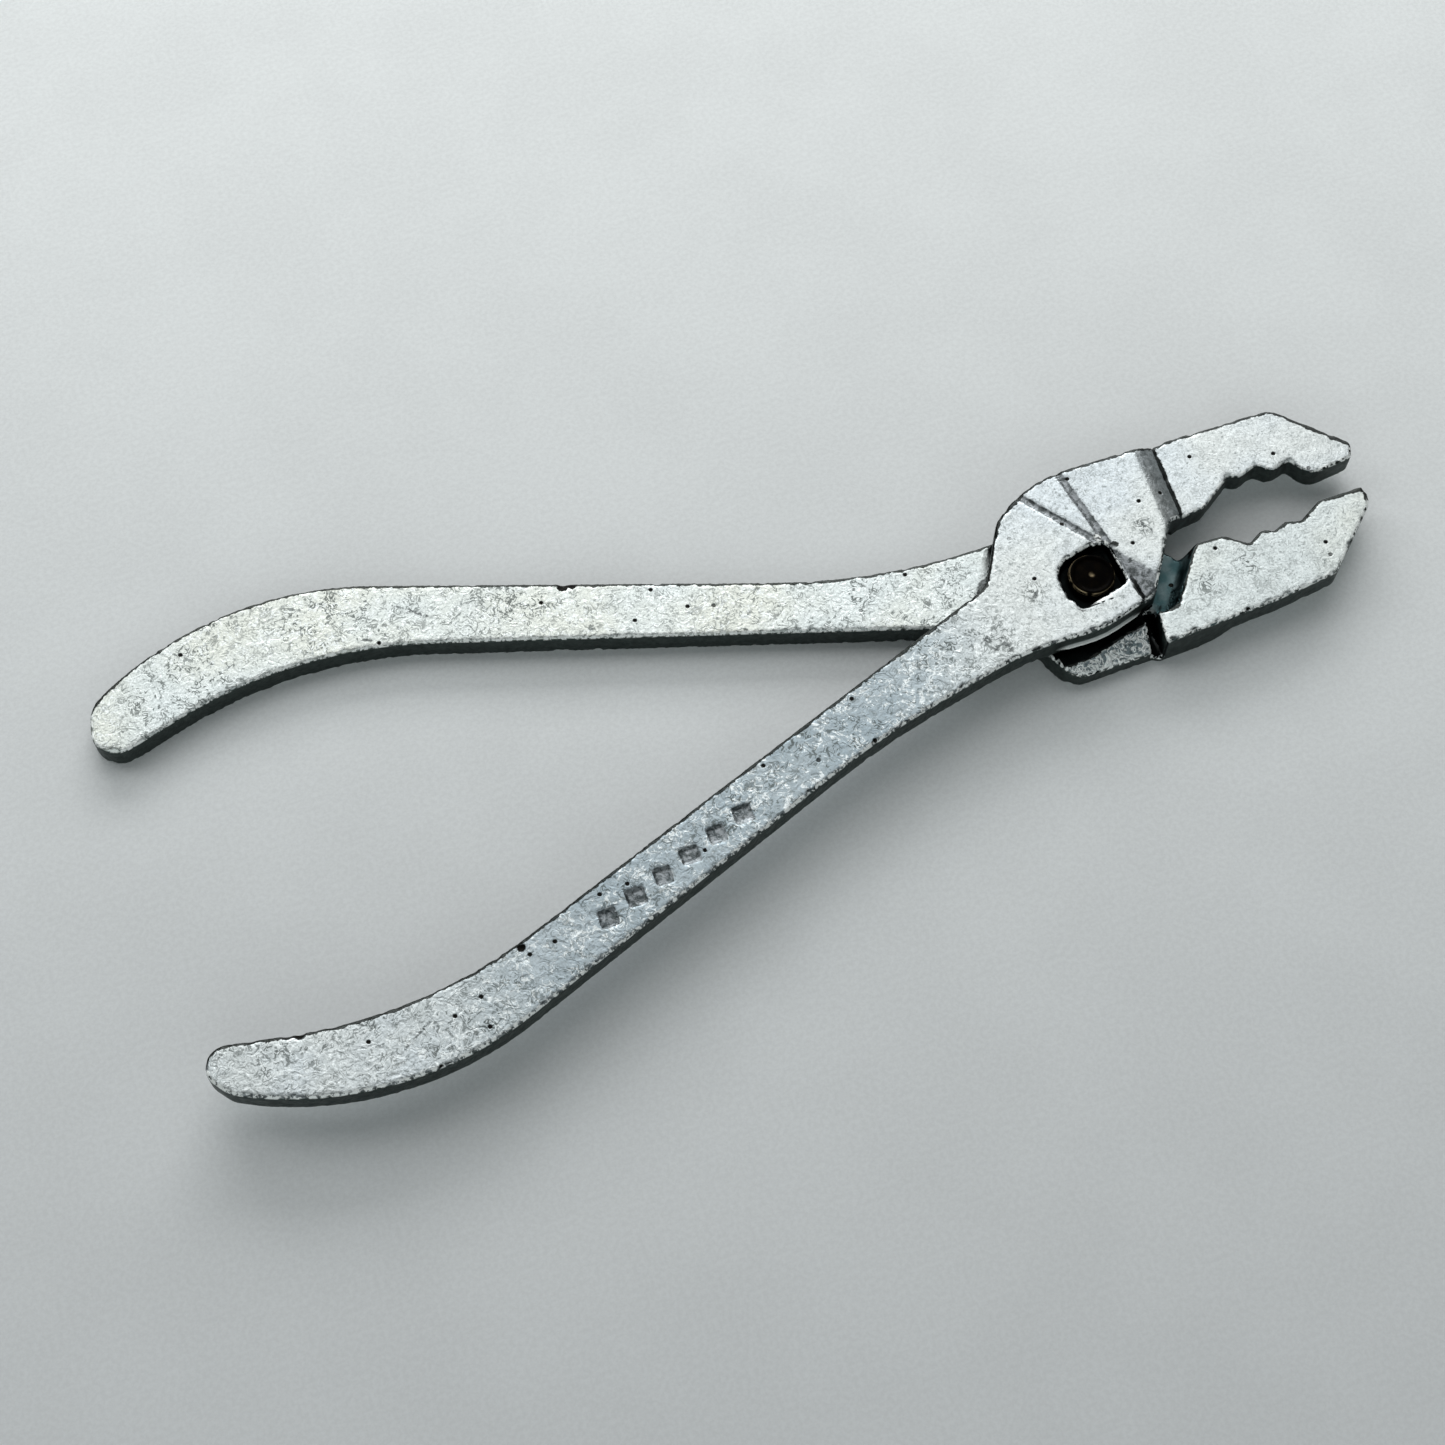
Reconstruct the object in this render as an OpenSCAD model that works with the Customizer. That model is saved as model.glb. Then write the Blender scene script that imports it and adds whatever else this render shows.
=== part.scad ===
// Small flat pliers: two zinc plated steel halves lapped on one rivet.
// The origin is on the rivet's axis at the surface the pliers lie on, and
// +X runs along the middle of the jaws. Both halves are drawn as they lie
// with the jaws a little open.

/* [Steel halves] */
// Thickness of each half at its handle and at its joint plate
plate_t = 2.4; // [2:0.1:3]
// Air left between the two joint plates
lap_gap = 0.08; // [0.04:0.01:0.15]
// Height by which each jaw is set over towards the other half
jaw_set = 1.24; // [1:0.02:1.4]
// Distance from the rivet to the ends of the handles
handle_length = 86; // [80:1:110]

/* [Joint] */
// Width of the gap cut behind the root of each jaw
slot_w = 1; // [0.8:0.05:1.2]
// Depth of that gap below the face of its joint plate
slot_d = 1.6; // [0.4:0.1:1.8]
// Height of the rim beside the slot, above its own joint plate
rim_h = 0.62; // [0.3:0.02:0.8]
// Angle at which the rim's top falls away to the back of the pliers
rim_fall = 26; // [15:1:28]
// Radius of the hollow where the joint plate meets the jaw
hollow_r = 1.15; // [0.6:0.05:1.2]
// Length of the rounded step from the upper plate down to its jaw
step_run = 2.3; // [1.8:0.1:2.5]
// Depth of the scars in the top of the joint
scar_d = 0.16; // [0.08:0.02:0.3]

/* [Rivet] */
// Diameter of the rivet's shank
shank_d = 3; // [2.6:0.05:3.4]
// Radial clearance of the shank in the lower half
running_gap = 0.05; // [0.03:0.01:0.08]
// Width of the pocket for the upper end, between its flat and round sides
pocket_l = 5.4; // [5.3:0.05:5.6]
// Depth of that pocket
pocket_d = 1.3; // [1:0.1:1.6]
// Diameter of the formed upper end
head_d = 4.2; // [3.8:0.1:4.2]
// How far the upper end lies below the face
head_drop = 0.3; // [0.1:0.05:0.5]
// Diameter of the formed lower end
button_d = 4.6; // [4.2:0.1:5.2]
// Depth of the round seat for the lower end
seat_d = 0.9; // [0.7:0.1:1.2]

/* [Stamped row] */
// How many plain lozenges are punched in the upper handle
punch_count = 6; // [4:1:8]
// Distance between them
punch_pitch = 2.9; // [2.4:0.1:3.2]
// Depth of each lozenge
punch_d = 0.18; // [0.1:0.02:0.3]

/* [Hidden] */
$fn = 64;
eps = 0.01;
upper_z = plate_t + lap_gap;
total_z = upper_z + plate_t;
jaw_z = plate_t + jaw_set;
extra = handle_length - 86;
handle_angle = 20;
// Height, across the pliers, of the line that the halves are mirrored about
middle_y = 1.4;
// The upper end was set a little off the rivet's axis
head_shift = [0.2, 0.45];

// Corners of each outline: x, y and the radius that rounds the corner.
// A handle corner is moved out along its handle by the extra length.
function out(side) = extra * [-cos(handle_angle), side * sin(handle_angle)];
function moved(c, side) = [c[0] + out(side)[0], c[1] + out(side)[1], c[2]];

lower_handle = [
    [-16.9, 7.6, 53], moved([-72.3, 28.3, 29], 1), moved([-85.6, 20.5, 3], 1),
    moved([-87.1, 14.2, 2.4], 1), moved([-67.4, 19.9, 38], 1), [-11.5, 0.5, 5]
];
lower_back = [
    [-6.6, -3.3, 1.2], [-4.85, -7.43, 2.4], [3.1, -7.36, 0], [3.6, -7.75, 0], [14.9, -7.3, 0]
];
lower_nose = [[20.9, -6.7, 1.2], [27, -1.3, 1.2], [27.5, 0.6, 0.6]];
lower_teeth = [
    [22.8, 0.6, 1.1], [20.4, -0.7, 0.5], [19, -0.3, 0.4], [17.7, -0.8, 0.3],
    [16.6, -0.3, 0.4], [15, -1.2, 0.3], [13.2, 0.4, 1.8]
];
lower_throat = [[10.3, 0.5, 1.2], [8.9, 0, 0.6], [4.2, 6.8, 2], [-1, 7.6, 6]];
lower_outline = concat(lower_handle, lower_back, lower_nose, lower_teeth, lower_throat);

upper_throat = [
    [10.4, 3.3, 0.3], [9, 2.9, 0.5], [4.5, -3.5, 0.5], [-1.3, -5.1, 10], [-7.7, -4.6, 30]
];
upper_handle = [
    [-23, -7.7, 80], moved([-71.1, -25.2, 29], -1), moved([-83.6, -18.6, 3.6], -1),
    moved([-87.1, -13.5, 1.8], -1), moved([-67.3, -17.8, 39], -1), [-44, -9.6, 0]
];
upper_back = [[-9.1, 2.5, 2.9], [-5.6, 8.2, 3.1], [-1.7, 11.2, 12], [10.7, 10.9, 3], [12.5, 11.3, 2]];
upper_nose = [[23.1, 11, 2], [28.5, 5.1, 0.6], [27.8, 3.7, 0.5]];
upper_teeth = [
    [23.5, 3.3, 1.6], [22.3, 5.4, 0.3], [20.4, 4.9, 0.5], [19.3, 6, 0.6],
    [17.4, 5.4, 0.3], [16.4, 5.8, 0.3], [12.9, 3.6, 1]
];
upper_outline = concat(upper_throat, upper_handle, upper_back, upper_nose, upper_teeth);

// Edge of the lowered joint plate, drawn for the lower half
rim_edge = [
    [3.6, -4.7, 0], [0.6, -5.2, 4], [-2.5, -6, 8], [-5.2, -6.1, 3], [-8.5, -5.4, 0], [-12, -14, 0]
];

// Arc that rounds corner b between a and c, or the corner itself
function unit(v) = v / norm(v);
function arc(a, b, c) =
    let (
        p = [b[0], b[1]],
        u = unit([a[0], a[1]] - p),
        v = unit([c[0], c[1]] - p),
        half_turn = acos(u * v) / 2,
        reach = b[2] / tan(half_turn),
        middle = p + unit(u + v) * b[2] / sin(half_turn),
        start = p + u * reach - middle,
        steps = max(2, ceil((180 - 2 * half_turn) / (b[2] > 20 ? 3 : 9))),
        side = sign(u[0] * v[1] - u[1] * v[0]),
        sweep = -side * (180 - 2 * half_turn)
    )
    b[2] == 0 ? [p] : [
        for (i = [0:steps])
            let (s = sweep * i / steps)
            middle + [start[0] * cos(s) - start[1] * sin(s), start[0] * sin(s) + start[1] * cos(s)]
    ];
function rounded(c) =
    let (n = len(c))
    [for (i = [0:n - 1]) each arc(c[(i + n - 1) % n], c[i], c[(i + 1) % n])];

// Everything beyond the line through a point at an angle, above or below
// a rounded step: the part to be taken away beside a jaw
module beside_jaw(point, angle, run, drop) {
    profile = [
        for (i = [0:8])
            let (t = i / 8)
            [run * (t - 1), drop * (1 - 0.25 * t - 0.6 * t * t)]
    ];
    translate([point[0], point[1], 0])
        rotate([0, 0, angle])
            rotate([90, 0, 0])
                linear_extrude(60, center = true)
                    polygon(concat([[-run, drop + 5]], profile, [[0, 0], [60, 0], [60, drop + 5]]));
}

// The room for the other half's joint plate, above z = 0, with a hollow
// left along the jaw and everything beyond the rim kept
module joint_room() {
    line = 50.5;
    root = [6.85, -3.8];
    far = root + 14 * [cos(line), sin(line)];
    shift = hollow_r * [-sin(line), cos(line)];
    linear_extrude(10)
        polygon(concat(
            [[-200, 100], far + shift + [0, 60], far + shift, root + shift, [4.3, -4.7]],
            rounded_open(rim_edge),
            [[-200, -14]]
        ));
    intersection() {
        translate([root[0], root[1], 0])
            rotate([0, 0, line])
                rotate([90, 0, 90])
                    translate([0, 0, -6])
                        linear_extrude(20.5)
                            polygon(concat(
                                [[hollow_r + 1, 10], [hollow_r + 1, 0]],
                                [for (s = [0:15:90]) hollow_r * [1 - sin(s), 1 - cos(s)]],
                                [[0, 10]]
                            ));
        translate([0, 0, -1])
            linear_extrude(12)
                polygon(rounded([
                    [4.6, -4.65, 0], [6.15, -4.65, 1.2], [far[0] + 0.4, far[1] + 0.4, 0], [4.6, 20, 0]
                ]));
    }
}
function rounded_open(c) =
    let (n = len(c))
    [
        for (i = [0:n - 1])
            each (i == 0 || i == n - 1 ? [[c[i][0], c[i][1]]] : arc(c[i - 1], c[i], c[i + 1]))
    ];

// The cut between the rim and the root of the jaw
module slot() {
    translate([3.36, -4.4, -slot_d])
        rotate([0, 0, -10])
            translate([0, -6, 0])
                cube([slot_w, 6.6, 12]);
}

// Slopes the rim's top down from its inner edge to the back of the pliers
module rim_top() {
    translate([3.6, -4.56, rim_h])
        rotate([0, 0, -10])
            rotate([rim_fall, 6.5, 0])
                translate([-30, -10, 0])
                    cube([30, 10.3, 12]);
}

// One half lying as the lower one does: its plate on z = 0, its jaw set
// up by jaw_set, room above the plate for the other half
module plier_half(outline, step_point, step_angle, flip) {
    difference() {
        linear_extrude(jaw_z)
            polygon(rounded(outline));
        across(flip)
            translate([0, 0, plate_t])
                joint_room();
        across(flip)
            translate([0, 0, plate_t])
                slot();
        across(flip)
            translate([0, 0, plate_t])
                rim_top();
        mirror([0, 0, 1])
            translate([0, 0, -jaw_set])
                beside_jaw(step_point, step_angle, step_run, jaw_set);
    }
}
module across(flip) {
    translate([0, flip ? 2 * middle_y : 0, 0])
        mirror([0, flip ? 1 : 0, 0])
            children();
}

module lower_half() {
    color([0.80, 0.83, 0.80])
        difference() {
            plier_half(lower_outline, [10.8, -4.6], -5.3, false);
            translate([0, 0, -1])
                cylinder(h = total_z, r = shank_d / 2 + running_gap);
            translate([0, 0, -1])
                cylinder(h = 1 + seat_d, r = button_d / 2 + 0.2);
        }
}

// Outline of the pocket: round on one side, with flats on the other two
module pocket_shape() {
    scale(pocket_l / 5.4)
        polygon(rounded([
            [2.65, 2.85, 0.45], [2.75, -1.45, 0.55], [-2.15, -2.66, 0.35],
            [-2.88, -0.3, 2.2], [-2.5, 2.15, 1.7], [0.6, 3, 4]
        ]));
}

// Shallow V groove in the top face from one point to another
module scar(from, to, w) {
    d = to - from;
    translate([from[0], from[1], total_z])
        rotate([0, 0, atan2(d[1], d[0])])
            rotate([90, 0, 90])
                linear_extrude(norm(d))
                    polygon([[-w / 2, eps], [0.1 * w, -scar_d], [w / 2, eps]]);
}

// Leaning facet that widens from the pocket to the plate's corner
module facet() {
    translate([2.6, 3.05, total_z])
        rotate([0, 0, -54.5])
            rotate([6, 0, 0])
                linear_extrude(2)
                    polygon([[0, 0], [7.5, 0], [7.5, -4.1]]);
}

module upper_half() {
    color([0.74, 0.79, 0.84])
        difference() {
            translate([0, 0, total_z])
                mirror([0, 0, 1])
                    plier_half(upper_outline, [10.9, 7.2], -5.3, true);
            translate([0, 0, upper_z - 1])
                cylinder(h = total_z, r = shank_d / 2);
            translate([0, 0, total_z - pocket_d])
                linear_extrude(5)
                    pocket_shape();
            scar([-2.9, 10.2], [2.4, 2.5], 0.9);
            scar([1.5, 11.4], [2.75, 2.3], 1);
            facet();
            for (i = [0:punch_count - 1])
                translate([-50.6, -15.2, total_z - punch_d])
                    rotate([0, 0, 19.5])
                        translate([i * punch_pitch, 0, 0])
                            rotate([0, 0, 25])
                                    cylinder(h = 1, r = 1.15, $fn = 4);
        }
}

module pivot_rivet() {
    floor_z = total_z - pocket_d;
    head_h = pocket_d - head_drop;
    color([0.13, 0.10, 0.08]) {
        translate([head_shift[0], head_shift[1], floor_z])
            rotate_extrude()
                polygon([
                    [0, 0], [head_d / 2, 0], [head_d / 2, head_h - 0.3], [head_d / 2 - 0.1, head_h - 0.08],
                    [head_d / 2 - 0.25, head_h], [head_d / 2 - 0.45, head_h - 0.06],
                    [head_d / 2 - 0.6, head_h - 0.15], [0.3, head_h - 0.1], [0.15, head_h - 0.18],
                    [0, head_h - 0.2]
                ]);
        cylinder(h = floor_z + eps, r = shank_d / 2);
        cylinder(h = seat_d - 0.05, r = button_d / 2);
    }
}

lower_half();
upper_half();
pivot_rivet();
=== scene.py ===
import functools
import math

import bmesh
import bpy
import numpy as np
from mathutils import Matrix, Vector, kdtree, noise
from mathutils.bvhtree import BVHTree


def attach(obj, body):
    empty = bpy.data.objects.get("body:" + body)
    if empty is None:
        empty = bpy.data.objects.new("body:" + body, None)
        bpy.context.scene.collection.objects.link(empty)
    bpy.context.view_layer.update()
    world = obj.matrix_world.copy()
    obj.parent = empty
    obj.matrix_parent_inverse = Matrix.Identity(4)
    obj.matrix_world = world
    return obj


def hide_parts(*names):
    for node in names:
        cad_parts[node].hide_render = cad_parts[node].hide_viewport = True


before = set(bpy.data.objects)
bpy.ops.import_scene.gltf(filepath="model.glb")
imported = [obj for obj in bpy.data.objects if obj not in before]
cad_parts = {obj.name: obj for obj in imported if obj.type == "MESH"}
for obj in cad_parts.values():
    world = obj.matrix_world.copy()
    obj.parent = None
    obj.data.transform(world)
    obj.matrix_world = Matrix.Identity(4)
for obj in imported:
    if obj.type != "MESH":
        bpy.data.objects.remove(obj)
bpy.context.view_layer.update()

# Lengths below are in millimetres unless they say otherwise.
MM = 0.001
SEED = 11
HALF_VOXEL = 0.165
RIVET_VOXEL = 0.07
EDGE_STEP = 0.08  # between the points that mark the outer edges
EDGE_ANGLE = 38  # degrees: corners sharper than this count as edges
SHUT_RAYS = 16
SHUT_REACH = 3.5
JOINT_RADIUS = 12
WORN_WIDTH = 0.4
WORN_DEPTH = 0.16
LEDGE_Z = 3.32
LEDGE_HALF = 0.26
LEDGE_OUT = 0.34
PIT_PITCH = 2.4
JOINT_FADE = (-14 * MM, -4 * MM)  # where handle marks give way to jaw marks
FAR_WAY = (0.36, 0.93)  # unit vector across the pliers, to their far side and the main lamps; the painted highlights on the near edges and the painted shade on the table follow it

# The row of lozenges in the upper handle, and the painted highlight along the near edge of the
# pocket
ROW = [(-50.6, -15.2), (-36.9, -10.4)]
POCKET_GLINT_LINE = [(-1.75, -2.36), (0.75, -2.30)]

# Nicks at the edges: x, y, z, radius, depth
NICKS_LOWER = [
    (-43.4, 17.2, 2.4, 0.75, 0.16),
    (-42.6, 16.9, 2.4, 0.45, 0.12),
    (-22.5, 3.6, 2.4, 0.5, 0.2),
]
NICKS_UPPER = [
    (-58.1, -15.1, 4.88, 0.5, 0.2),
    (-77.0, -15.8, 4.88, 0.6, 0.25),
    (-76.4, -21.9, 4.88, 0.6, 0.3),
]

# ---------------------------------------------------------------- shapes


def all_metal():
    """One tree of every CAD surface, to look for metal near a point."""
    points, faces = [], []
    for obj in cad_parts.values():
        first = len(points)
        points += [v.co.copy() for v in obj.data.vertices]
        faces += [[first + i for i in p.vertices] for p in obj.data.polygons]
    return BVHTree.FromPolygons(points, faces)


cad_metal = all_metal()


def in_stamped_row(p):
    """Whether a point is at one of the lozenges in the upper handle."""
    x, y, z = p / MM
    return z > 4.5 and -53 < x < -34.5 and abs(stamped_row_offset(x, y)) < 1.5


def stamped_row_offset(x, y):
    """Distance across the handle from the row's middle line."""
    (x0, y0), (x1, y1) = ROW
    length = math.hypot(x1 - x0, y1 - y0)
    return ((x - x0) * (y1 - y0) - (y - y0) * (x1 - x0)) / length


def weld(source):
    """A copy of a CAD mesh with its split corners joined, and points along
    its outer edges with the way out of the metal there."""
    bm = bmesh.new()
    bm.from_mesh(source)
    bmesh.ops.remove_doubles(bm, verts=bm.verts, dist=2e-6)
    bm.normal_update()
    points, ways = [], []
    for e in bm.edges:
        if len(e.link_faces) != 2:
            continue
        if e.calc_face_angle_signed(0.0) < math.radians(EDGE_ANGLE):
            continue
        a, b = e.verts[0].co, e.verts[1].co
        if in_stamped_row((a + b) / 2):
            continue
        way = (e.link_faces[0].normal + e.link_faces[1].normal).normalized()
        count = max(1, int((b - a).length / (EDGE_STEP * MM)))
        for i in range(count + 1):
            points.append(a.lerp(b, i / count))
            ways.append(way)
    mesh = bpy.data.meshes.new("welded")
    bm.to_mesh(mesh)
    bm.free()
    return mesh, points, ways


def fine_skin(name, node, voxel):
    """The node's shape as an even fine mesh, with its outer edges."""
    mesh, points, ways = weld(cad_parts[node].data)
    obj = bpy.data.objects.new(name, mesh)
    bpy.context.scene.collection.objects.link(obj)
    even = obj.modifiers.new("even", "REMESH")
    even.mode = "VOXEL"
    even.voxel_size = voxel
    even.adaptivity = 0.0
    bpy.context.view_layer.update()
    graph = bpy.context.evaluated_depsgraph_get()
    fine = bpy.data.meshes.new_from_object(obj.evaluated_get(graph))
    obj.modifiers.remove(even)
    obj.data = fine
    bpy.data.meshes.remove(mesh)
    fine.name = name
    return obj, points, ways


def read_points(mesh):
    co = np.empty(len(mesh.vertices) * 3)
    mesh.vertices.foreach_get("co", co)
    return co.reshape(-1, 3)


def read_normals(mesh):
    n = np.empty(len(mesh.vertices) * 3)
    mesh.vertices.foreach_get("normal", n)
    return n.reshape(-1, 3)


def write_points(mesh, co):
    mesh.vertices.foreach_set("co", co.ravel())
    mesh.update()


def edge_distance(co, points, ways):
    """Distance from each point to the nearest outer edge, and how far that
    edge faces the far side, from -1 to 1."""
    tree = kdtree.KDTree(len(points))
    for i, p in enumerate(points):
        tree.insert(p, i)
    tree.balance()
    side = np.array([w.x * FAR_WAY[0] + w.y * FAR_WAY[1] for w in ways])
    found = [tree.find(p)[1:] for p in co]
    away = np.array([f[1] for f in found]) / MM
    return away, side[[f[0] for f in found]]


def relax(mesh, co, share, rounds):
    """Smooths the points by their neighbours, each by its own share."""
    pairs = np.empty(len(mesh.edges) * 2, dtype=np.int32)
    mesh.edges.foreach_get("vertices", pairs)
    a, b = pairs.reshape(-1, 2).T
    count = np.bincount(a, minlength=len(co)) + np.bincount(b, minlength=len(co))
    count = np.maximum(count, 1)[:, None]
    for _ in range(rounds):
        total = np.zeros_like(co)
        np.add.at(total, a, co[b])
        np.add.at(total, b, co[a])
        co = co + share[:, None] * (total / count - co)
    return co


def noise_at(co, size, seed):
    """Smooth noise from -1 to 1 at each point, with features of a size."""
    k = 1.0 / (size * MM)
    shift = Vector((seed * 7.3, seed * 3.1, seed * 5.7))
    return np.array([noise.noise(Vector(p) * k + shift) for p in co])


def dent(co, normals, centre, radius, depth):
    """Pushes the surface in round a point, and gives back how deep in the
    dent each point lies, from 0 to 1."""
    d = np.linalg.norm(co - np.array(centre) * MM, axis=1) / (radius * MM)
    fall = np.clip(1 - d**2, 0, 1) ** 2
    co -= normals * (depth * MM * fall)[:, None]
    return fall


def shut_in(co, normals, reach):
    """How far each point near the joint is shut in by metal, 0 to 1."""
    rng = np.random.default_rng(SEED)
    spray = rng.normal(size=(SHUT_RAYS, 3))
    spray /= np.linalg.norm(spray, axis=1)[:, None]
    shut = np.zeros(len(co))
    near = np.linalg.norm(co[:, :2], axis=1) < reach
    for i in np.nonzero(near)[0]:
        n = normals[i]
        start = Vector(co[i] + n * 0.05 * MM)
        hits = 0
        for way in spray:
            way = way if way @ n > 0 else -way
            ray = Vector(way + 0.6 * n).normalized()
            if cad_metal.ray_cast(start, ray, SHUT_REACH * MM)[0]:
                hits += 1
        shut[i] = hits / len(spray)
    return shut


def store(mesh, name, values):
    layer = mesh.attributes.new(name, "FLOAT", "POINT")
    layer.data.foreach_set("value", values.astype(np.float32))


def press_lip(co, normals):
    """Draws out a thin ledge along the plate's near wall, above the rim,
    and gives back where it is, from 0 to 1."""
    x, y, z = (co / MM).T
    ledge = np.clip(1 - abs(z - LEDGE_Z) / LEDGE_HALF, 0, 1)
    run = np.clip((x + 5.6) / 1.2, 0, 1) * np.clip((3.2 - x) / 0.8, 0, 1)
    lip = ledge * run * (y < -2.5) * (normals[:, 2] > -0.8) * (normals[:, 2] < 0.6)
    out = normals * np.array([1, 1, 0])
    co += out * (LEDGE_OUT * MM * lip)[:, None]
    return np.clip(lip * 1.6, 0, 1)


def worn_half(name, node, nicks, chips, seed, lip):
    """One half of the pliers with worn, chipped and nicked edges. Stores
    what its material needs to know about each point of the surface."""
    obj, points, ways = fine_skin(name, node, HALF_VOXEL * MM)
    mesh = obj.data
    co = read_points(mesh)
    edge, side = edge_distance(co, points, ways)
    shut = shut_in(co, read_normals(mesh), JOINT_RADIUS * MM)
    co = relax(mesh, co, 0.6 * np.clip(1 - edge / WORN_WIDTH, 0, 1), 3)
    write_points(mesh, co)
    normals = read_normals(mesh)
    rough = noise_at(co, 0.7, seed) * 0.7 + noise_at(co, 0.3, seed + 1) * 0.3
    bite = np.clip(1 - edge / WORN_WIDTH, 0, 1) * np.clip(rough + 0.05, 0, 1)
    co -= normals * (WORN_DEPTH * MM * bite)[:, None]
    rng = np.random.default_rng(SEED + seed)
    picks = rng.choice(len(points), chips, replace=False)
    for i in picks:
        centre = np.array(points[i]) / MM
        radius = rng.uniform(0.22, 0.55)
        dent(co, normals, centre, radius, radius * rng.uniform(0.2, 0.42))
    chip = np.zeros(len(co))
    for x, y, z, radius, depth in nicks:
        chip = np.maximum(chip, dent(co, normals, (x, y, z), radius, depth))
    write_points(mesh, co)
    store(mesh, "edge", np.minimum(edge, 5))
    store(mesh, "side", side)
    store(mesh, "shut", shut)
    store(mesh, "chip", chip)
    store(mesh, "lip", press_lip(co, normals) if lip else np.zeros(len(co)))
    write_points(mesh, co)
    mesh.shade_smooth()
    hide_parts(node)
    return obj


# ---------------------------------------------------------------- materials


class Graph:
    """Short names for the nodes of one material or world."""

    def __init__(self, tree, space="Object"):
        self.tree = tree
        self.shader = tree.nodes.get("Principled BSDF")
        self.place = self.add("ShaderNodeTexCoord").outputs[space]

    def add(self, kind, **settings):
        node = self.tree.nodes.new(kind)
        for key, value in settings.items():
            setattr(node, key, value)
        return node

    def wire(self, value, socket):
        if isinstance(value, bpy.types.NodeSocket):
            self.tree.links.new(value, socket)
        else:
            socket.default_value = value

    def noise(self, size, detail=2.0, rough=0.5, bend=0.0, place=None):
        """Noise from 0 to 1 with features of a size."""
        node = self.add("ShaderNodeTexNoise")
        self.wire(place or self.place, node.inputs["Vector"])
        node.inputs["Scale"].default_value = 1.0 / (size * MM)
        node.inputs["Detail"].default_value = detail
        node.inputs["Roughness"].default_value = rough
        node.inputs["Distortion"].default_value = bend
        return node.outputs["Fac"]

    def offset(self, shift):
        """The object's coordinates moved by a shift in metres."""
        node = self.add("ShaderNodeVectorMath", operation="ADD")
        self.wire(self.place, node.inputs[0])
        node.inputs[1].default_value = shift
        return node.outputs[0]

    def maths(self, operation, a, b=0.0, c=0.0):
        node = self.add("ShaderNodeMath", operation=operation)
        for value, socket in zip((a, b, c), node.inputs):
            self.wire(value, socket)
        return node.outputs[0]

    def ramp(self, value, low, high, at_low=0.0, at_high=1.0):
        """Value mapped smoothly from low..high to at_low..at_high."""
        node = self.add("ShaderNodeMapRange", interpolation_type="SMOOTHSTEP")
        for v, key in (
            (value, "Value"),
            (low, "From Min"),
            (high, "From Max"),
            (at_low, "To Min"),
            (at_high, "To Max"),
        ):
            self.wire(v, node.inputs[key])
        return node.outputs["Result"]

    def mix(self, share, a, b):
        node = self.add("ShaderNodeMix", data_type="RGBA")
        self.wire(share, node.inputs[0])
        for value, socket in ((a, node.inputs[6]), (b, node.inputs[7])):
            self.wire(value, socket)
        return node.outputs[2]

    def bump(self, height, distance, strength, after=None):
        node = self.add("ShaderNodeBump")
        node.inputs["Strength"].default_value = strength
        node.inputs["Distance"].default_value = distance
        self.wire(height, node.inputs["Height"])
        if after is not None:
            self.wire(after, node.inputs["Normal"])
        return node.outputs["Normal"]

    def times(self, *values):
        return functools.reduce(lambda a, b: self.maths("MULTIPLY", a, b), values)

    def plus(self, a, b):
        return self.maths("ADD", a, b)

    def most(self, *values):
        return functools.reduce(lambda a, b: self.maths("MAXIMUM", a, b), values)

    def near_half(self, value, low, high):
        """1 where a noise is close to its middle, along thin curly lines."""
        off = self.maths("ABSOLUTE", self.maths("SUBTRACT", value, 0.5))
        return self.ramp(off, low, high, 1.0, 0.0)

    def away(self, point):
        """Distance across the pliers from a point, in metres."""
        dx = self.maths("SUBTRACT", self.x, point[0] * MM)
        dy = self.maths("SUBTRACT", self.y, point[1] * MM)
        return self.maths("SQRT", self.plus(self.times(dx, dx), self.times(dy, dy)))

    def stroke(self, start, end):
        """Distance across the pliers from a line, in metres."""
        dx, dy = end[0] - start[0], end[1] - start[1]
        length = math.hypot(dx, dy)
        dx, dy = dx / length, dy / length
        px = self.maths("SUBTRACT", self.x, start[0] * MM)
        py = self.maths("SUBTRACT", self.y, start[1] * MM)
        along = self.plus(self.times(px, dx), self.times(py, dy))
        across = self.maths("SUBTRACT", self.times(py, dx), self.times(px, dy))
        beyond = self.maths("SUBTRACT", along, length * MM)
        past = self.most(self.times(along, -1.0), beyond, 0.0)
        return self.plus(self.maths("ABSOLUTE", across), past)

    def attribute(self, name):
        return self.add("ShaderNodeAttribute", attribute_name=name).outputs["Fac"]

    def split(self, vector):
        node = self.add("ShaderNodeSeparateXYZ")
        self.wire(vector, node.inputs[0])
        return node.outputs


def new_material(name):
    material = bpy.data.materials.new(name)
    material.use_nodes = True
    return material, Graph(material.node_tree)


def marks(g, scuffs, scratches):
    """Scuffed places, where the flecks are thick, and single scratches."""
    scuff = scratch = 0.0
    for sx, sy, size in scuffs:
        spot = g.ramp(g.away((sx, sy)), 0.0, size * MM, 1.0, 0.0)
        scuff = g.most(scuff, spot)
    for start, end, width in scratches:
        mark = g.ramp(g.stroke(start, end), 0.3 * width * MM, width * MM, 1.0, 0.0)
        scratch = g.most(scratch, mark)
    return scuff, g.times(scratch, g.ramp(g.fine, 0.44, 0.54))


def pits(g):
    """Small black pits, one in about a fifth of the cells of a grid."""
    cells = g.add("ShaderNodeTexVoronoi", voronoi_dimensions="2D")
    g.wire(g.place, cells.inputs["Vector"])
    cells.inputs["Scale"].default_value = 1.0 / (PIT_PITCH * MM)
    chosen = g.ramp(g.split(cells.outputs["Color"])[0], 0.80, 0.84)
    spot = g.ramp(cells.outputs["Distance"], 0.06, 0.10, 1.0, 0.0)
    return g.times(spot, chosen, g.ramp(g.wall, 0.2, 0.6, 1.0, 0.0))


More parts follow.
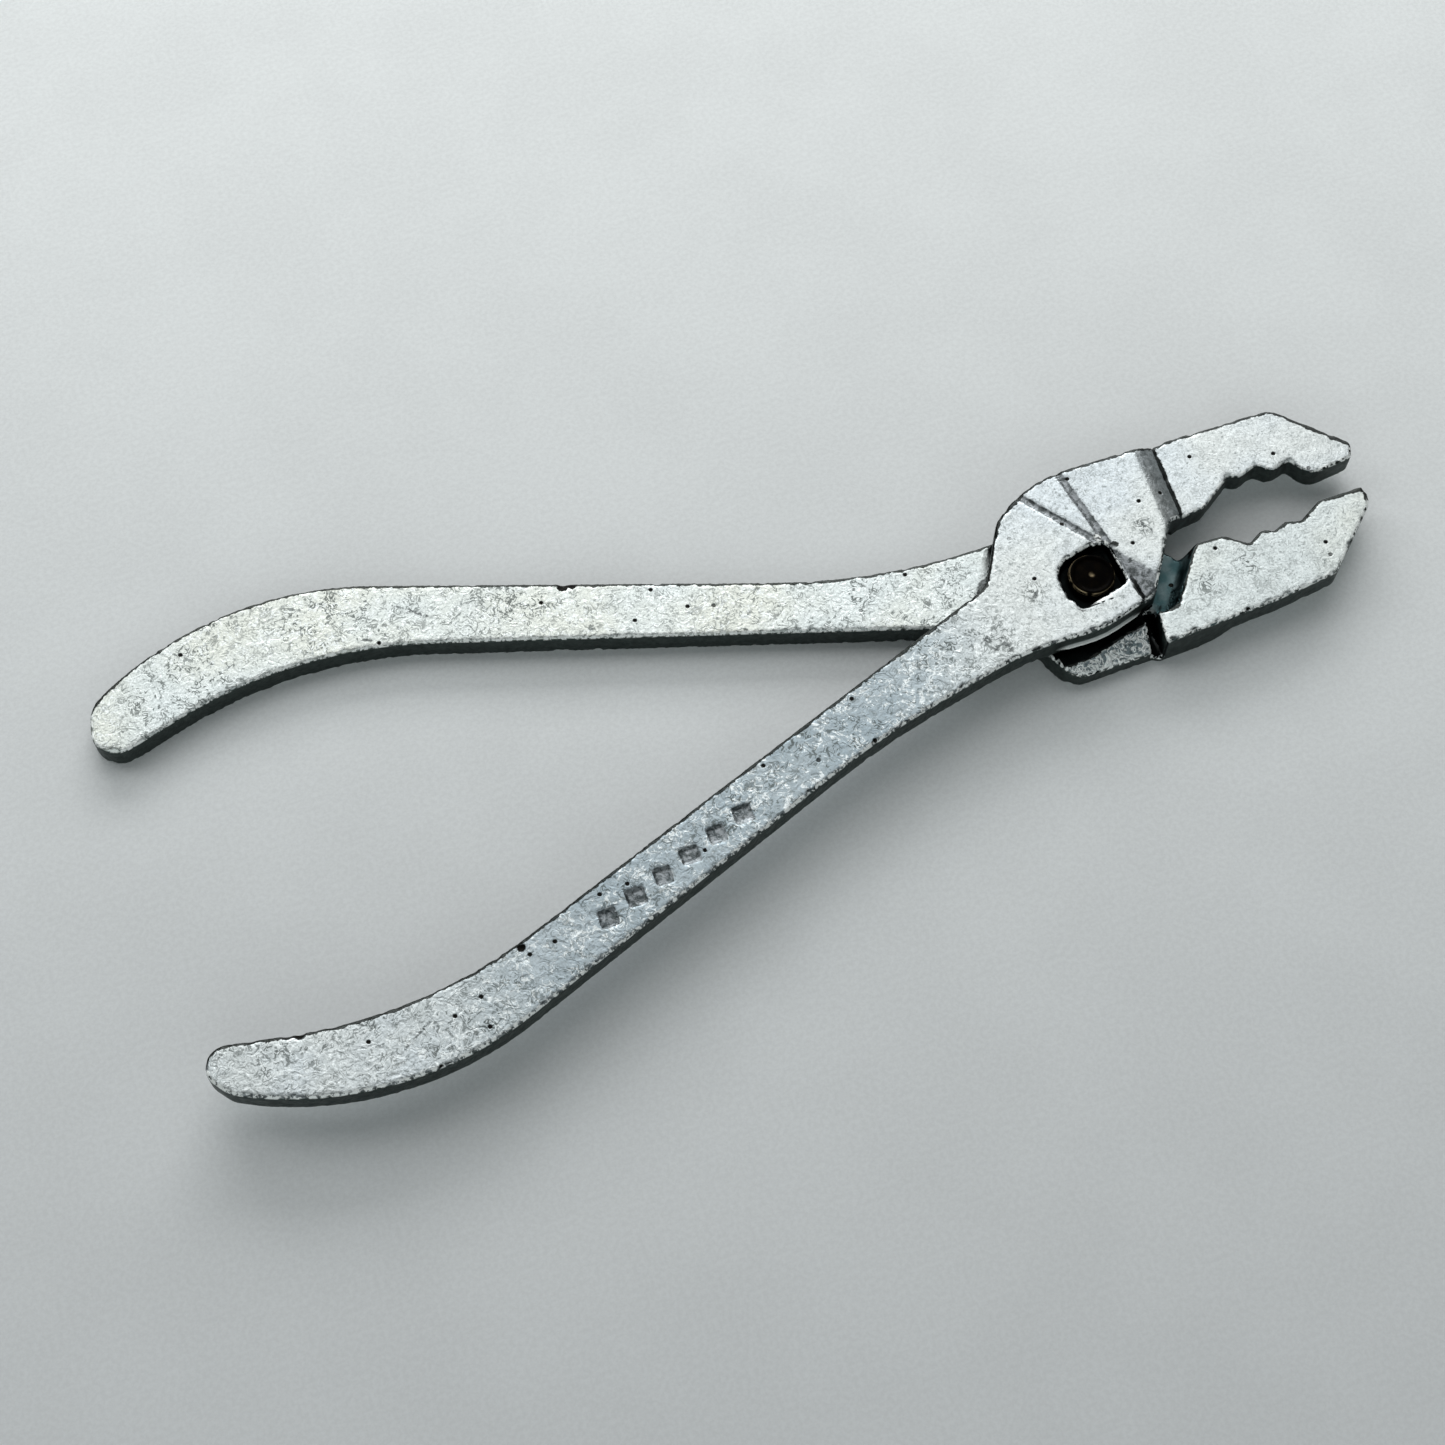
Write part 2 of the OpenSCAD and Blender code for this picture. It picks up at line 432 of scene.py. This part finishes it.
def plated(g, light, cool, dull_and_shade, dull_and_shade_share, scuff, scratch):
    """Bright plate with short dark curls, light ones where the plate is duller, the duller tone
    it is given (clouds on the lower half, painted shade along the upper handle), dark dots and a
    fine grain. Also gives the curls and grain, for the relief."""
    handles = g.ramp(g.x, *JOINT_FADE, 1.0, 0.42)
    curl = g.noise(0.80, 2.0, 0.55, 1.2)
    spread = g.plus(g.noise(1.0, 2.0), g.times(scuff, 0.20))
    patch = g.times(g.ramp(g.noise(6.0, 3.0, 0.6), 0.38, 0.62, 0.5, 1.0), handles)
    fleck = g.times(g.near_half(curl, 0.022, 0.052), g.ramp(spread, 0.475, 0.535))
    fleck = g.times(fleck, g.most(patch, scuff))
    light_curl = g.noise(0.80, 2.0, 0.55, 1.2, g.offset((0.05, 0.02, 0.03)))
    glint = g.times(g.near_half(light_curl, 0.02, 0.05), g.ramp(g.noise(1.1, 2.0), 0.47, 0.53))
    glint = g.times(glint, g.ramp(g.x, *JOINT_FADE, 1.0, 0.35))
    dot = g.ramp(g.noise(0.36, 2.0, 0.6), 0.30, 0.40, 1.0, 0.0)
    grain = g.noise(0.20, 3.0, 0.65)

    plate = g.mix(g.ramp(g.noise(11.0, 2.0, 0.5), 0.35, 0.65), light, cool)
    # Duller clouds on the lower half, painted shade along the middle of the upper handle.
    plate = g.mix(dull_and_shade_share(g), plate, dull_and_shade)
    plate = g.mix(g.times(glint, 0.8), plate, (0.88, 0.93, 0.93, 1))
    plate = g.mix(g.ramp(grain, 0.34, 0.60, 0.45, 0.0), plate, (0.28, 0.31, 0.31, 1))
    plate = g.mix(g.times(dot, 0.6), plate, (0.18, 0.21, 0.21, 1))
    plate = g.mix(g.times(fleck, 0.85), plate, (0.075, 0.09, 0.085, 1))
    plate = g.mix(g.times(scratch, 0.8), plate, (0.07, 0.08, 0.08, 1))
    return plate, curl, grain


def scraped_and_shaded(g, plate, top):
    """Dark scraped metal wherever the face lies a little below its top: scraped streaks, darkened
    as painted shade on these lower, sloping faces.
    """
    low = g.ramp(g.plus(g.z, g.times(g.fine, 0.10 * MM)), top * MM, (top + 0.03) * MM, 1.0, 0.0)
    level = g.ramp(g.z, (top - 1.2) * MM, (top - 1.1) * MM)
    step = g.ramp(g.x, 7.0 * MM, 7.6 * MM, 1.0, 0.55)
    handle = g.ramp(g.x, -12 * MM, -9 * MM, 0.95, 1.0)
    share = g.times(low, level, step, handle, g.ramp(g.facing, 0.2, 0.4))
    streak = g.ramp(g.noise(0.55, 4.0, 0.7, 0.6), 0.40, 0.60)
    streak = g.mix(streak, (0.035, 0.042, 0.042, 1), (0.27, 0.29, 0.305, 1))
    return g.mix(g.times(share, 0.92), plate, streak)


def rim_slope(g):
    """The sloping top of the rim beside the joint plate, from 0 to 1."""
    slope = g.times(g.ramp(g.facing, 0.90, 0.97, 1.0, 0.0), g.ramp(g.facing, 0.4, 0.6))
    outside = g.ramp(g.y, -2.9 * MM, -2.7 * MM, 1.0, 0.0)
    return g.times(slope, outside, g.ramp(g.z, 3.3 * MM, 3.4 * MM, 1.0, 0.0))


def pocket_glint_and_dark_line(g):
    """A painted highlight along the near edge of the pocket, and a thin dark line just outside
    it.
    """
    top = g.ramp(g.z, 4.6 * MM, 4.7 * MM)
    pocket_glint = g.ramp(g.stroke(*POCKET_GLINT_LINE), 0.08 * MM, 0.17 * MM, 1.0, 0.0)
    under = [(x, y - 0.3) for x, y in POCKET_GLINT_LINE]
    dark_line = g.ramp(g.stroke(*under), 0.03 * MM, 0.10 * MM, 1.0, 0.0)
    return g.times(pocket_glint, top), g.times(dark_line, top, g.ramp(g.fine, 0.42, 0.50))


def edges(g, plate, pocket_glint):
    """Dark walls, partly the sheared steel and partly painted shade, a ragged dark line along the
    far edges, and painted highlights along the near edges, the pocket's edge and the drawn-out
    ledge. Also gives the painted highlights."""
    # The walls: dark sheared steel, darkened further as painted shade.
    dark = g.mix(g.noise(0.5, 3.0, 0.6), (0.014, 0.018, 0.017, 1), (0.10, 0.125, 0.118, 1))
    colour = g.mix(g.wall, plate, dark)
    edge, side = g.attribute("edge"), g.attribute("side")
    clear = g.ramp(g.away((0.0, 0.2)), 3.3 * MM, 3.9 * MM)
    width = g.plus(g.ramp(side, -0.2, 0.35, 0.22, 0.72), g.ramp(g.x, 22 * MM, 28 * MM, 0.0, 0.35))
    ragged = g.maths("SUBTRACT", edge, g.times(g.noise(0.9, 3.0, 0.65), width))
    rim = g.times(g.ramp(ragged, -0.06, 0.0, 0.95, 0.0), clear)
    colour = g.mix(rim, colour, (0.010, 0.012, 0.010, 1))
    # Painted highlights: white spots just inside the near edges of faces that look upwards.
    painted_glint = g.times(g.ramp(edge, 0.16, 0.36, 1.0, 0.0), g.ramp(g.fine, 0.46, 0.54))
    painted_glint = g.times(painted_glint, g.ramp(side, -0.1, 0.1, 1.0, 0.0), g.ramp(g.facing, 0.05, 0.30))
    # The line by the pocket and the drawn-out ledge are painted white as highlights too.
    painted_glint = g.most(painted_glint, pocket_glint, g.attribute("lip"))
    return g.mix(painted_glint, colour, (0.92, 0.95, 0.93, 1)), painted_glint


def tint_and_shade_hollows(g, colour, painted_glint, hollow_tint_and_shade):
    """A dark tint in the hollow beside the jaw, partly the plating's own blue-green tint and
    partly painted shade where metal shuts it in, and painted black shade in the gaps of the joint
    and on the floor between the joint plate and the rim."""
    uneven = g.plus(g.attribute("shut"), g.times(g.noise(0.7, 3.0, 0.6), 0.14))
    past_joint = g.ramp(g.x, 3.6 * MM, 4.8 * MM)
    cloud = g.ramp(g.noise(1.6, 2.0), 0.40, 0.68, 0.0, 0.28)
    tint = g.mix(cloud, hollow_tint_and_shade, (0.30, 0.38, 0.39, 1))
    # Painted shade with a tint: darker where metal shuts the surface in, past the joint, with
    # random lighter clouds.
    colour = g.mix(g.times(g.ramp(uneven, 0.17, 0.27), past_joint), colour, tint)
    # Painted shade: black deep in the joint's gaps and in the trench beside the rim, kept off the
    # painted highlights.
    gap_shade = g.times(g.ramp(uneven, 0.36, 0.50), g.ramp(g.x, -8.5 * MM, -6.5 * MM))
    gap_shade = g.times(gap_shade, g.ramp(g.x, 3.6 * MM, 4.8 * MM, 1.0, 0.0))
    trench = g.times(
        g.ramp(g.z, 2.62 * MM, 2.52 * MM),
        g.ramp(g.z, 1.9 * MM, 2.0 * MM),
        g.ramp(g.y, -7.2 * MM, -6.6 * MM),
        g.ramp(g.y, -3.0 * MM, -2.6 * MM, 1.0, 0.0),
        g.ramp(g.x, -7.8 * MM, -7.0 * MM),
        g.ramp(g.x, 3.6 * MM, 4.4 * MM, 1.0, 0.0),
        g.ramp(g.facing, 0.955, 0.985),
    )
    gap_shade = g.most(gap_shade, trench, g.ramp(uneven, 0.66, 0.80))
    gap_shade = g.times(gap_shade, g.ramp(painted_glint, 0.3, 0.7, 1.0, 0.0))
    return g.mix(gap_shade, colour, (0.003, 0.004, 0.004, 1))


def zinc(name, light, cool, dull_and_shade, dull_and_shade_share, top, scuffs, scratches, hollow_tint_and_shade):
    """Bright mottled zinc plate, worn and scraped, with painted shade in the hollows and gaps, on
    the faces just below the top and, where given, along a handle, and painted highlights on the
    near edges. top is the height in millimetres below which the upper face counts as scraped and
    shaded."""
    material, g = new_material(name)
    g.x, g.y, g.z = g.split(g.place)
    g.facing = g.split(g.add("ShaderNodeNewGeometry").outputs["Normal"])[2]
    g.wall = g.ramp(g.maths("ABSOLUTE", g.facing), 0.35, 0.75, 1.0, 0.0)
    g.fine = g.noise(0.45, 3.0, 0.65)

    plate, curl, grain = plated(g, light, cool, dull_and_shade, dull_and_shade_share, *marks(g, scuffs, scratches))
    plate = scraped_and_shaded(g, plate, top)
    slope = rim_slope(g)
    vein = g.near_half(g.noise(0.9, 3.0, 0.6, 1.4), 0.02, 0.09)
    veined = g.mix(vein, (0.17, 0.22, 0.24, 1), (0.97, 1.0, 0.99, 1))
    plate = g.mix(g.times(slope, 0.9), plate, veined)
    pocket_glint, dark_line = pocket_glint_and_dark_line(g)
    colour, painted_glint = edges(g, plate, pocket_glint)
    colour = tint_and_shade_hollows(g, colour, painted_glint, hollow_tint_and_shade)
    chip = g.plus(g.attribute("chip"), g.times(g.maths("SUBTRACT", g.fine, 0.5), 0.9))
    hole = g.most(pits(g), g.ramp(chip, 0.22, 0.40), dark_line)
    colour = g.mix(hole, colour, (0.008, 0.008, 0.007, 1))

    relief = g.bump(g.times(curl, g.ramp(g.x, *JOINT_FADE, 1.0, 0.5)), 0.10 * MM, 0.7)
    relief = g.bump(grain, 0.02 * MM, 0.5, relief)
    relief = g.bump(g.times(hole, -1.0), 0.08 * MM, 0.6, relief)
    relief = g.bump(g.times(g.noise(0.6, 3.0, 0.6, 1.0), slope), 0.35 * MM, 1.0, relief)
    rough = g.plus(g.ramp(g.noise(0.8, 2.0), 0.3, 0.7, 0.33, 0.48), g.times(g.wall, 0.12))
    g.wire(colour, g.shader.inputs["Base Color"])
    # The painted highlights are made less metallic, so they stay white.
    g.wire(g.ramp(painted_glint, 0.2, 0.8, 1.0, 0.35), g.shader.inputs["Metallic"])
    g.wire(rough, g.shader.inputs["Roughness"])
    g.wire(relief, g.shader.inputs["Normal"])
    return material


def even_dull(g):
    """Dull clouds all over."""
    return g.ramp(g.noise(5.0, 3.0, 0.6), 0.45, 0.75, 0.0, 0.35)


def handle_shade(g):
    """Painted shade along the middle of the upper handle, darker and bluer, in uneven clouds."""
    near = g.ramp(g.x, -22 * MM, -6 * MM, 1.0, 0.0)
    far = g.ramp(g.x, -74 * MM, -52 * MM, 0.0, 1.0)
    cloud = g.ramp(g.noise(6.0, 3.0, 0.6), 0.3, 0.7, 0.75, 1.0)
    return g.times(near, far, cloud)


def dark_steel(centre, ring):
    """Bare steel gone black with oil, with a rust-brown spot in the middle of the head and a
    brown painted highlight along the head's ring.
    """
    material, g = new_material("dark_oiled_steel")
    g.x, g.y, g.z = g.split(g.place)
    rust = g.ramp(g.noise(1.3, 4.0, 0.65), 0.45, 0.75)
    colour = g.mix(rust, (0.0008, 0.0006, 0.0005, 1), (0.004, 0.0026, 0.0012, 1))
    out = g.away(centre)
    # Painted highlight: a brown ring along the head's rim; the spot in its middle is rust.
    off_ring = g.maths("ABSOLUTE", g.maths("SUBTRACT", out, ring * MM))
    line = g.ramp(off_ring, 0.04 * MM, 0.11 * MM, 1.0, 0.0)
    spot = g.ramp(out, 0.10 * MM, 0.35 * MM, 0.5, 0.0)
    rim_glint_and_rust = g.times(g.most(line, spot), g.ramp(g.noise(1.4, 3.0), 0.42, 0.6))
    rim_glint_and_rust = g.times(rim_glint_and_rust, g.ramp(g.z, 4.2 * MM, 4.3 * MM))
    colour = g.mix(rim_glint_and_rust, colour, (0.42, 0.33, 0.20, 1))
    g.wire(colour, g.shader.inputs["Base Color"])
    g.shader.inputs["Specular IOR Level"].default_value = 0.01
    g.wire(g.ramp(rim_glint_and_rust, 0.2, 0.8), g.shader.inputs["Metallic"])
    g.wire(g.ramp(g.noise(0.5, 2.0), 0.3, 0.7, 0.25, 0.42), g.shader.inputs["Roughness"])
    g.wire(g.bump(g.noise(0.5, 3.0), 0.05 * MM, 0.4), g.shader.inputs["Normal"])
    return material


# ---------------------------------------------------------------- pieces

lower = worn_half("lower_half_steel", "lower_half", NICKS_LOWER, chips=150, seed=1, lip=False)
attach(lower, "lower_body")
lower.data.materials.clear()
lower.data.materials.append(
    zinc(
        "zinc_lower",
        light=(0.72, 0.75, 0.69, 1),
        cool=(0.69, 0.75, 0.75, 1),
        dull_and_shade=(0.58, 0.63, 0.62, 1),
        dull_and_shade_share=even_dull,
        top=3.64,
        scuffs=[(9.6, -3.6, 2.6), (14.0, -3.0, 3.0), (-50.0, 18.0, 3.0)],
        scratches=[((-58.1, 20.7), (-55.6, 18.6), 0.22), ((-62.0, 18.6), (-60.9, 18.0), 0.2)],
        # Blue-green tint of the hollows, darkened as painted shade
        hollow_tint_and_shade=(0.033, 0.066, 0.071, 1),
    )
)

upper = worn_half("upper_half_steel", "upper_half", NICKS_UPPER, chips=150, seed=5, lip=True)
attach(upper, "upper_body")
upper.data.materials.clear()
upper.data.materials.append(
    zinc(
        "zinc_upper",
        light=(0.70, 0.74, 0.73, 1),
        cool=(0.66, 0.72, 0.75, 1),
        # Bluish painted shade along the middle of the upper handle
        dull_and_shade=(0.33, 0.40, 0.44, 1),
        dull_and_shade_share=handle_shade,
        top=4.88,
        scuffs=[(-10.4, -3.0, 2.4), (6.4, 3.2, 2.0), (-5.5, 0.4, 2.2)],
        scratches=[
            ((-69.5, -20.0), (-67.0, -18.5), 0.16),
            ((-11.4, -1.9), (-10.8, -3.6), 0.42),
            ((-10.0, -2.9), (-9.7, -4.1), 0.55),
            ((6.2, 3.7), (6.8, 2.5), 0.42),
            ((-5.9, -0.3), (-5.2, 0.3), 0.30),
        ],
        # Dark grey painted shade in the hollows, lightly tinted
        hollow_tint_and_shade=(0.030, 0.040, 0.040, 1),
    )
)

rivet, _, _ = fine_skin("pivot_rivet_steel", "pivot_rivet", RIVET_VOXEL * MM)
co = read_points(rivet.data)
co = relax(rivet.data, co, np.full(len(co), 0.5), 6)
write_points(rivet.data, co)
rivet.data.shade_smooth()
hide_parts("pivot_rivet")
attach(rivet, "upper_body")
rivet.data.materials.clear()
rivet.data.materials.append(dark_steel(centre=(0.2, 0.45), ring=2.03))

# ---------------------------------------------------------------- surroundings

FLOOR_HALF = 3.0  # metres
TARGET = (-0.029, 0, 0)  # metres


def make_floor():
    """A plain pale table, with painted shade making it a little darker on the near side."""
    mesh = bpy.data.meshes.new("floor")
    s = FLOOR_HALF
    mesh.from_pydata([(-s, -s, 0), (s, -s, 0), (s, s, 0), (-s, s, 0)], [], [(0, 1, 2, 3)])
    floor = bpy.data.objects.new("floor", mesh)
    bpy.context.scene.collection.objects.link(floor)
    material, g = new_material("pale_table")
    x, y, _ = g.split(g.place)
    along = g.plus(g.times(x, FAR_WAY[0]), g.times(y, FAR_WAY[1]))
    # Painted shade: the table darker towards the near side.
    shade = g.ramp(along, -0.11, 0.09)
    tone = g.mix(shade, (0.66, 0.68, 0.69, 1), (0.93, 0.96, 0.96, 1))
    grain = g.ramp(g.noise(0.4, 3.0, 0.7), 0.3, 0.7, 0.14, 0.0)
    grain = g.plus(grain, g.ramp(g.noise(16.0, 3.0, 0.6), 0.35, 0.65, 0.05, 0.0))
    g.wire(g.mix(grain, tone, (0.3, 0.3, 0.3, 1)), g.shader.inputs["Base Color"])
    g.shader.inputs["Roughness"].default_value = 0.6
    mesh.materials.append(material)


def make_light(name, place, size, watts, colour=(1, 1, 1)):
    """A soft rectangular lamp turned towards the pliers, in metres."""
    data = bpy.data.lights.new(name, "AREA")
    data.shape = "RECTANGLE"
    data.size, data.size_y = size
    data.energy = watts
    data.color = colour
    obj = bpy.data.objects.new(name, data)
    obj.location = place
    obj.rotation_mode = "QUATERNION"
    obj.rotation_quaternion = (Vector(TARGET) - Vector(place)).to_track_quat("-Z", "Y")
    bpy.context.scene.collection.objects.link(obj)


make_floor()
make_light("overhead_panel", (0.12, 0.48, 0.80), (1.0, 0.70), 2.5)
make_light("low_back_strip", (0.22, 0.80, 0.40), (1.0, 0.30), 5.1)
make_light("left_softbox", (-0.36, 0.30, 0.34), (0.25, 0.25), 0.38, (0.98, 1.0, 1.0))


def make_world():
    """A dim even room, pale along the horizon and below it, with a soft
    glow low on the near side."""
    world = bpy.data.worlds.new("room")
    world.use_nodes = True
    g = Graph(world.node_tree, "Generated")
    x, y, z = g.split(g.place)
    glow = g.ramp(z, 0.08, 0.28, 0.04, 0.17)
    horizon = g.ramp(z, 0.04, 0.12, 0.50, 0.0)
    toward = g.plus(g.times(x, -FAR_WAY[0]), g.times(y, -FAR_WAY[1]))
    front = g.times(
        g.ramp(toward, 0.25, 0.75), g.ramp(z, 0.05, 0.25), g.ramp(z, 0.60, 0.80, 1.0, 0.3)
    )
    glow = g.plus(glow, g.times(front, 0.65))
    back = g.tree.nodes["Background"]
    back.inputs["Color"].default_value = (0.88, 0.95, 0.95, 1)
    g.wire(g.most(glow, horizon), back.inputs["Strength"])
    bpy.context.scene.world = world


make_world()
bpy.context.scene.view_settings.view_transform = "Standard"

lens = bpy.data.cameras.new("camera")
lens.sensor_width = 36.0
lens.lens = 59.8
lens.clip_start = 0.01
camera = bpy.data.objects.new("camera", lens)
camera.location = (-0.0689, -0.0888, 0.1865)
camera.rotation_euler = (math.radians(27.17), 0, math.radians(-21))
bpy.context.scene.collection.objects.link(camera)
bpy.context.scene.camera = camera
